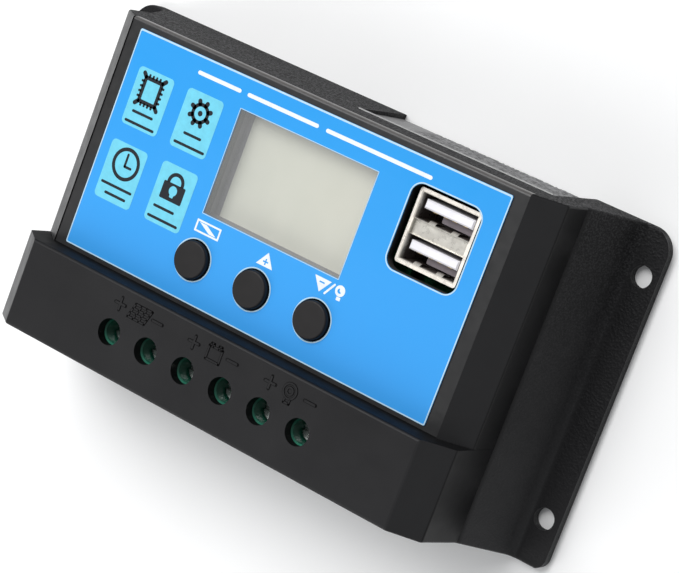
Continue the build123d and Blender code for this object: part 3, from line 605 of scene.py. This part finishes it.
TITLE_Y, TITLE_W = 19.75, 0.8

# key signs: places are from the middle of their key
MENU_SIGN_AT, UP_SIGN_AT, DOWN_SIGN_AT, LAMP_SIGN_AT = (0.9, 6.75), (0.85, 6.3), (-0.8, 7.35), (3.55, 7.5)
SLASH, SLASH_W = ((2.0, 8.15), (0.5, 5.8)), 0.42
ARROW_HALF = 2.0
SIGN_ARM, SIGN_HALF_LINE = 0.62, 0.16  # plus and minus inside the arrows

# thin light lines
KEY_RING_R, KEY_RING_LINE = 4.16, 0.26
USB_DOWN = 0.35  # how far the socket's cut-out lies below the socket's middle
USB_OUTLINES = (((16.5, 17.8), 2.7), ((15.95, 17.25), 2.42))  # outer and inner: size and corner
WINDOW_OUTLINES = ((0.4, 0.15), (0.12, 0.05))  # outer and inner: growth over the window, and corner
LABEL_INSET, LABEL_ROUND = 0.04, 0.4
LABEL_LINE_DOWN, LABEL_LINE_TAKES, LABEL_LINE_ROUND = 0.06, (0.5, 0.62), 0.3  # its inner outline


def on_label(loops):
    """Outlines given from the middle of the label, moved to the frame."""
    return [moved(points, LABEL_MID.x, LABEL_MID.y) for points in loops]


def ink_piece(name, groups, finish, base=0.0):
    """Ink printed at a height above the label's face; each group is a set of outlines."""
    low = LABEL_TOP + base
    piece(name, [slab(loops, low, low + INK_T) for loops in groups], finish)


def chip_icon(x, y):
    """Square frame with short pins on its sides and round corners, as for a chip."""
    half_w, half_h, frame_w = 2.5, 2.85, 0.82
    pins, pin_w, inset, reach, spacing = (-1.35, -0.45, 0.45, 1.35), 0.5, 0.1, 0.25, 1.15
    ear, ear_w = 0.3, 0.9
    groups = [[rounded(x, y, 2 * half_w, 2 * half_h, 0.25),
               rounded(x, y, 2 * (half_w - frame_w), 2 * (half_h - frame_w), 0.15)]]
    for along in pins:
        for side in (-1, 1):
            groups.append([bar((x + along, y + side * (half_h - inset)),
                               (x + along, y + side * (half_h + reach)), pin_w)])
            groups.append([bar((x + side * (half_w - inset), y + along * spacing),
                               (x + side * (half_w + reach), y + along * spacing), pin_w)])
    for side_x in (-1, 1):
        for side_y in (-1, 1):
            groups.append([bar((x + side_x * (half_w - ear), y + side_y * (half_h - ear)),
                               (x + side_x * (half_w + ear), y + side_y * (half_h + ear)), ear_w)])
    return groups


def gear_icon(x, y):
    """Eight-toothed wheel with a ring and a dot."""
    rim, bore, dot = 2.15, 1.4, 0.55
    teeth, first, root, tip, tooth_w = 8, 22.5, 1.9, 2.5, 0.95
    groups = [[circle(x, y, rim), circle(x, y, bore)], [circle(x, y, dot)]]
    for i in range(teeth):
        angle = math.radians(first + 360 / teeth * i)
        way = Vector((math.cos(angle), math.sin(angle)))
        groups.append([bar((x + root * way.x, y + root * way.y), (x + tip * way.x, y + tip * way.y), tooth_w)])
    return groups


def clock_icon(x, y):
    """Ring with two hands."""
    rim, face, hand_w = 3.42, 2.68, 0.52
    hub, top, right = (x - 0.15, y - 0.5), y + 2.0, x + 1.4
    return [[circle(x, y, rim), circle(x, y, face)],
            [bar((hub[0], top), hub, hand_w)], [bar(hub, (right, hub[1]), hand_w)]]


def padlock_icon(x, y):
    """Closed padlock with a round keyhole."""
    outer, inner, shoulder, foot = 2.1, 1.35, y + 1.9, y + 1.6
    keyhole = arc(x, y + 0.25, 1.02, -60, 240) + [(x - 0.42, y - 1.15), (x + 0.42, y - 1.15)]
    body = rounded(x, y - 0.1, 5.5, 3.6, 0.3)
    shackle = (arc(x, shoulder, outer, 0, 180) + [(x - outer, foot), (x - inner, foot)]
               + arc(x, shoulder, inner, 180, 0) + [(x + inner, foot), (x + outer, foot)])
    return [[body, keyhole], [shackle]]


def plus_outline(x, y):
    """Outline of a small plus."""
    arm, half = SIGN_ARM, SIGN_HALF_LINE
    corners = [(-half, arm), (half, arm), (half, half), (arm, half), (arm, -half), (half, -half),
               (half, -arm), (-half, -arm), (-half, -half), (-arm, -half), (-arm, half), (-half, half)]
    return moved(corners, x, y)


def key_signs():
    """White signs above the keys: a framed panel, an up arrow with plus, a down arrow with minus, and a lamp."""
    menu, up, down = BUTTONS
    x, y = menu.x + MENU_SIGN_AT[0], menu.y + MENU_SIGN_AT[1]
    groups = [[rounded(x, y, 6.1, 2.5, 0.1), rounded(x, y, 5.3, 1.75, 0.05)],
              [[(x - 2.3, y + 0.75), (x - 0.55, y + 0.75), (x + 2.3, y - 0.75), (x + 0.55, y - 0.75)]]]
    x, y = up.x + UP_SIGN_AT[0], up.y + UP_SIGN_AT[1]
    groups.append([[(x, y + 1.75), (x + ARROW_HALF, y - 1.1), (x - ARROW_HALF, y - 1.1)],
                   plus_outline(x, y - 0.15)])
    x, y = down.x + DOWN_SIGN_AT[0], down.y + DOWN_SIGN_AT[1]
    groups.append([[(x, y - 1.75), (x - ARROW_HALF, y + 1.0), (x + ARROW_HALF, y + 1.0)],
                   [(x - SIGN_ARM, y + 0.3), (x + SIGN_ARM, y + 0.3), (x + SIGN_ARM, y), (x - SIGN_ARM, y)]])
    groups.append([bar(*moved(SLASH, down.x, down.y), SLASH_W)])
    x, y = down.x + LAMP_SIGN_AT[0], down.y + LAMP_SIGN_AT[1]
    glow = (x - 0.1, y - 0.05)
    groups.append([circle(x, y, 1.12, 32), arc(*glow, 0.5, 100, 330, 12) + [glow]])
    groups.append([rounded(x + 0.15, y - 1.55, 0.95, 0.7, 0.15)])
    return groups


def label_outlines():
    """Thin light lines round the keys, the socket cut-out, the window and the label's edge."""
    groups = [ring(at.x, at.y, KEY_RING_R, KEY_RING_LINE) for at in BUTTONS]
    groups.append([rounded(USB_MID.x, USB_MID.y - USB_DOWN, *size, corner) for size, corner in USB_OUTLINES])
    groups.append([rounded(WINDOW_MID.x, WINDOW_MID.y, WINDOW_SIZE.x + more, WINDOW_SIZE.y + more, corner)
                   for more, corner in WINDOW_OUTLINES])
    x, y = LABEL_MID.x, LABEL_MID.y
    width, height = LABEL_SIZE.x - LABEL_INSET, LABEL_SIZE.y - LABEL_INSET
    groups.append([rounded(x, y, width, height, LABEL_ROUND),
                   rounded(x, y - LABEL_LINE_DOWN, width - LABEL_LINE_TAKES[0], height - LABEL_LINE_TAKES[1],
                           LABEL_LINE_ROUND)])
    return groups


def print_label():
    """Tiles, icons, bars in place of lettering, key signs, rings and edge lines."""
    ink_piece("label_tiles", [on_label([rounded(*at, *size, TILE_ROUND)]) for at, size in TILES], TILE_INK)
    icons = chip_icon(*CHIP_AT) + gear_icon(*GEAR_AT) + clock_icon(*CLOCK_AT) + padlock_icon(*PADLOCK_AT)
    ink_piece("label_icons", [on_label(loops) for loops in icons], DARK_INK, INK_T)
    captions = [[bar((x - length / 2, y), (x + length / 2, y), CAPTION_W)] for (x, y), length in CAPTIONS]
    ink_piece("label_captions", [on_label(loops) for loops in captions], DARK_INK, INK_T)
    title = [[bar((start, TITLE_Y), (end, TITLE_Y), TITLE_W)] for start, end in TITLE_BARS]
    ink_piece("label_title", [on_label(loops) for loops in title], WHITE_INK)
    ink_piece("label_signs", key_signs(), WHITE_INK)
    ink_piece("label_rings", label_outlines(), EDGE_INK)


print_label()

# ------------------------------------------------------------------ signs moulded on the terminal deck
MARK_H = 0.15  # height of the raised lines over the deck
MARK_SUNK = 0.02  # how far below the deck they start, and below the shell's own signs they end
MARK_Y = -18.1
MARK_LINE = 0.34
MARK_SHADE = 0.13  # width of the painted shadow round each raised line
PANEL_X, PANEL_LEAN, PANEL_HALF, PANEL_LINES = -18.3, 1.0, (2.1, 1.45), 4
BATTERY_X, BATTERY_DOWN = 0.8, 0.1
BATTERY_HALF, BATTERY_LOW, BATTERY_HIGH = 1.6, 1.5, 1.2  # half width, and reach below and above its middle
POLE_OFF, POLE_HALF, POLE_TOP = 0.95, 0.3, 1.75
BULB_X, BULB_UP, BULB_RINGS = 19.3, 0.35, (1.5, 0.7)
BULB_FOOT = (0.6, 1.6, 2.4)  # half width, and how far below the middle it starts and ends
PAIR_X = (-18.6, 0.4, 19.4)  # the shell carries a plus and a minus sign either side of these
PAIR_GAP, PAIR_Y, PAIR_HALF, PAIR_LINE = 4.8, -18.0, 1.3, 0.45


def stroke(line, *points):
    """Raised lines along a path, one outline for each run."""
    return [[bar(a, b, line)] for a, b in zip(points, points[1:])]


def deck_signs(line):
    """Solar panel, battery and lamp in raised lines."""
    half_w, half_h = PANEL_HALF
    lean = PANEL_LEAN / 2
    groups = []
    for i in range(PANEL_LINES):
        part = 2 * i / (PANEL_LINES - 1) - 1
        x = PANEL_X + half_w * part
        groups += stroke(line, (x - lean, MARK_Y - half_h), (x + lean, MARK_Y + half_h))
        x, y = PANEL_X + lean * part, MARK_Y + half_h * part
        groups += stroke(line, (x - half_w, y), (x + half_w, y))
    left, right, y = BATTERY_X - BATTERY_HALF, BATTERY_X + BATTERY_HALF, MARK_Y - BATTERY_DOWN
    low, high, top = y - BATTERY_LOW, y + BATTERY_HIGH, y + POLE_TOP
    groups += stroke(line, (left, low), (right, low), (right, high), (left, high), (left, low))
    for x in (BATTERY_X - POLE_OFF, BATTERY_X + POLE_OFF):
        groups += stroke(line, (x - POLE_HALF, high), (x - POLE_HALF, top), (x + POLE_HALF, top),
                         (x + POLE_HALF, high))
    y = MARK_Y + BULB_UP
    groups += [ring(BULB_X, y, radius - line / 2, line) for radius in BULB_RINGS]
    half, start, end = BULB_FOOT
    groups += stroke(line, (BULB_X - half, y - start), (BULB_X - half, y - end), (BULB_X + half, y - end),
                     (BULB_X + half, y - start))
    return groups


def pair_signs(line):
    """Outlines over the shell's plus and minus signs, for their painted shadow."""
    groups = []
    for x in PAIR_X:
        plus, minus = x - PAIR_GAP, x + PAIR_GAP
        groups += stroke(line, (plus - PAIR_HALF, PAIR_Y), (plus + PAIR_HALF, PAIR_Y))
        groups += stroke(line, (plus, PAIR_Y - PAIR_HALF), (plus, PAIR_Y + PAIR_HALF))
        groups += stroke(line, (minus - PAIR_HALF, PAIR_Y), (minus + PAIR_HALF, PAIR_Y))
    return groups


def mark_deck():
    """Raised signs on the deck, and a painted shadow round them and round the shell's own signs."""
    deck = SHELL_TOP - MARK_H
    piece("deck_signs", [slab(loops, deck - MARK_SUNK, SHELL_TOP - MARK_SUNK) for loops in deck_signs(MARK_LINE)],
          FINISHES["shell_plastic"])
    # painted shadow: a near-black sheet round each raised line, where shade would fall
    dark = plain_finish("painted_mark_shadow", (0.002, 0.002, 0.0022), (0.5, 0.62), Specular_IOR_Level=0.1)
    edges = deck_signs(MARK_LINE + 2 * MARK_SHADE) + pair_signs(PAIR_LINE + 2 * MARK_SHADE)
    piece("deck_sign_painted_shadows", [slab(loops, deck - MARK_SUNK, deck + MARK_SUNK) for loops in edges],
          dark)


mark_deck()

# ------------------------------------------------------------------ crinkle lacquer on the heat sink's turned-up edge
COAT_X = (2.85, 47.65)
COAT_LOW, COAT_TOP_GAP = 1.7, 0.1  # where it starts, and how far below the edge's top it ends
COAT_STEP = 0.19
COAT_T = (0.03, 0.28)  # thinnest and thickest lacquer
COAT_SUNK = 0.02  # how far its back lies inside the metal
CRINKLED_X = (13.5, 44.5)  # the folds fade out beyond these
FADE_LENGTH, FADE_LEAST = 3, 0.12
FOLD_SIZE, FOLD_CREST, FOLD_DEPTH = 1.15, 0.9, 1.9
RIPPLE_SIZE, RIPPLE_DEPTH = 0.5, 0.25
FOLD_MEAN, COAT_MEAN = 0.5, 0.45  # middle of the folds, and of the lacquer's relief


def coat_relief(x, z):
    """Height of the lacquer's folds, 0 to 1."""
    low, high = CRINKLED_X
    fade = max(FADE_LEAST, min(1.0, 1 - max(low - x, x - high, 0) / FADE_LENGTH))
    place = Vector((x, 0.0, z))
    folds = FOLD_CREST - FOLD_DEPTH * abs(noise.noise(place / FOLD_SIZE))
    folds += RIPPLE_DEPTH * noise.noise(place / RIPPLE_SIZE)
    return max(0.0, min(1.0, COAT_MEAN + (folds - FOLD_MEAN) * fade))


def plate_coat():
    """Lacquer skin over the outside of the turned-up edge, with real folds."""
    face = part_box("back_plate")[1]
    (left, right), height = COAT_X, face.z / MM - COAT_TOP_GAP - COAT_LOW
    columns, rows = round((right - left) / COAT_STEP), round(height / COAT_STEP)
    thin, thick = COAT_T
    work = bmesh.new()
    fronts, backs, reliefs = [], [], []
    for i in range(columns + 1):
        x = left + (right - left) * i / columns
        for j in range(rows + 1):
            z = COAT_LOW + height * j / rows
            relief = coat_relief(x, z)
            on_rim = i in (0, columns) or j in (0, rows)
            depth = thin if on_rim else thin + (thick - thin) * relief
            fronts.append(work.verts.new((x * MM, face.y + depth * MM, z * MM)))
            backs.append(work.verts.new((x * MM, face.y - COAT_SUNK * MM, z * MM)))
            reliefs += [relief, relief]
    step = rows + 1
    for i in range(columns):
        for j in range(rows):
            a, b = i * step + j, (i + 1) * step + j
            work.faces.new((fronts[a], fronts[a + 1], fronts[b + 1], fronts[b]))
            work.faces.new((backs[a], backs[b], backs[b + 1], backs[a + 1]))
    rim = ([i * step for i in range(columns)] + [columns * step + j for j in range(rows)]
           + [i * step + rows for i in range(columns, 0, -1)] + list(range(rows, 0, -1)))
    for a, b in zip(rim, rim[1:] + rim[:1]):
        work.faces.new((fronts[a], fronts[b], backs[b], backs[a]))
    work.verts.index_update()
    bmesh.ops.recalc_face_normals(work, faces=work.faces)
    mesh = bpy.data.meshes.new("plate_coat")
    work.to_mesh(mesh)
    work.free()
    mesh.attributes.new("relief", "FLOAT", "POINT").data.foreach_set("value", reliefs)
    mesh.materials.append(wrinkle_coat("plate_crinkle", "relief"))
    mesh.shade_smooth()
    coat = bpy.data.objects.new("plate_coat", mesh)
    bpy.context.scene.collection.objects.link(coat)
    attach(coat, "root")


plate_coat()

# ------------------------------------------------------------------ rounded lip over the notch in the top wall
LIP_X = (2.6, 47.9)
LIP_AT = (34.64, 19.04)  # Y and Z
LIP_R, LIP_STEPS = 0.2, 12
SMOOTH_DEG = 50  # faces that meet at less than this are shaded as one


def painted_highlight_lip():
    """Moulded lip along the notch's front edge, coloured light grey as a painted highlight."""
    mesh = slab([circle(*LIP_AT, LIP_R, LIP_STEPS)], *LIP_X)
    mesh.transform(ON_EDGE)
    # painted highlight: the black moulded lip is given a light grey so that it shows as a pale line
    finish = plain_finish("painted_highlight_lip", (0.3, 0.3, 0.3), (0.2, 0.3), tone=3, Specular_IOR_Level=0.6)
    piece("painted_highlight_lip", [mesh], finish, smooth_deg=SMOOTH_DEG)


painted_highlight_lip()

# ------------------------------------------------------------------ contact springs in the two sockets
PORT_WALLS = (-6.65, 1.55)  # lower long wall of each port, from the middle of the twin socket
SPRING_X = (-2.6, 2.6)
SPRING_W, SPRING_T = 1.5, 0.18
SPRING_LINE = [(-0.03, 21.5), (0.5, 25.0), (0.55, 25.4), (0.4, 25.75), (-0.03, 26.3)]  # from the wall, and height
STOP_AT, STOP_SIZE, STOP_ROUND, STOP_Z = (1.9, 1.45), (7.2, 1.4), 0.3, (21.5, 24.4)  # grey stop behind a tongue


def spring_tab(x, wall):
    """One bent tab: its side outline, given a width along X."""
    inner = [(u - SPRING_T, v) for u, v in reversed(SPRING_LINE)]
    mesh = slab([moved(SPRING_LINE + inner, wall, 0)], x - SPRING_W / 2, x + SPRING_W / 2)
    mesh.transform(ON_EDGE)
    return mesh


def socket_springs():
    """Bent tabs that press on a plug's shell, and the grey stop behind each tongue."""
    tabs = [spring_tab(USB_MID.x + x, USB_MID.y + wall) for wall in PORT_WALLS for x in SPRING_X]
    piece("usb_springs", tabs, FINISHES["usb_nickel"], smooth_deg=SMOOTH_DEG)
    stops = [slab([rounded(USB_MID.x + STOP_AT[0], USB_MID.y + wall + STOP_AT[1], *STOP_SIZE, STOP_ROUND)], *STOP_Z)
             for wall in PORT_WALLS]
    grey = plain_finish("usb_back", (0.16, 0.135, 0.15), (0.45, 0.6), tone=1.5)
    piece("usb_backs", stops, grey)


socket_springs()

# ------------------------------------------------------------------ light and floor, in metres and watts
FLOOR_SIZE = 4.0
FLOOR_GAP = 0.05 * MM
WORLD_COLOUR, WORLD_STRENGTH = (0.96, 0.98, 1.0, 1), 0.32
SOFT_BOXES = [("key_box", (-0.35, 0.55, 1.05), (0.9, 0.8), 14), ("fill_box", (-0.6, -0.7, 0.7), (0.8, 0.8), 5)]
LIGHT_AIM = (0, 0, 0.015)


def floor_finish():
    """Pale paper with a barely visible tooth."""
    s = Shader("floor_paper")
    s.set(Base_Color=s.ramp(s.noise(40, 4), (0.3, (0.93, 0.93, 0.93)), (0.7, (0.95, 0.95, 0.95))))
    s.set(Roughness=s.remap(s.noise(5, 3), 0.8, 0.9), Specular_IOR_Level=0.1)
    return s.bump(s.noise(0.6, 2), 6).material


def make_floor():
    """Floor just under the object's back face."""
    mesh = bpy.data.meshes.new("floor")
    half = FLOOR_SIZE / 2
    level = CAD_BOX[0].z - FLOOR_GAP
    corners = [(-half, -half, level), (half, -half, level), (half, half, level), (-half, half, level)]
    mesh.from_pydata(corners, [], [(0, 1, 2, 3)])
    mesh.materials.append(floor_finish())
    floor = bpy.data.objects.new("floor", mesh)
    bpy.context.scene.collection.objects.link(floor)


def soft_light(name, place, size, watts):
    """Area light aimed at the object."""
    data = bpy.data.lights.new(name, "AREA")
    data.shape = "RECTANGLE"
    data.size, data.size_y = size
    data.energy = watts
    lamp = bpy.data.objects.new(name, data)
    bpy.context.scene.collection.objects.link(lamp)
    lamp.location = place
    lamp.rotation_euler = (Vector(LIGHT_AIM) - Vector(place)).to_track_quat("-Z", "Y").to_euler()


def make_light():
    """Pale surroundings and two soft boxes."""
    world = bpy.data.worlds.new("studio")
    world.use_nodes = True
    background = world.node_tree.nodes["Background"]
    background.inputs["Color"].default_value = WORLD_COLOUR
    background.inputs["Strength"].default_value = WORLD_STRENGTH
    bpy.context.scene.world = world
    for box in SOFT_BOXES:
        soft_light(*box)


make_floor()
make_light()
bpy.context.scene.view_settings.view_transform = "Standard"
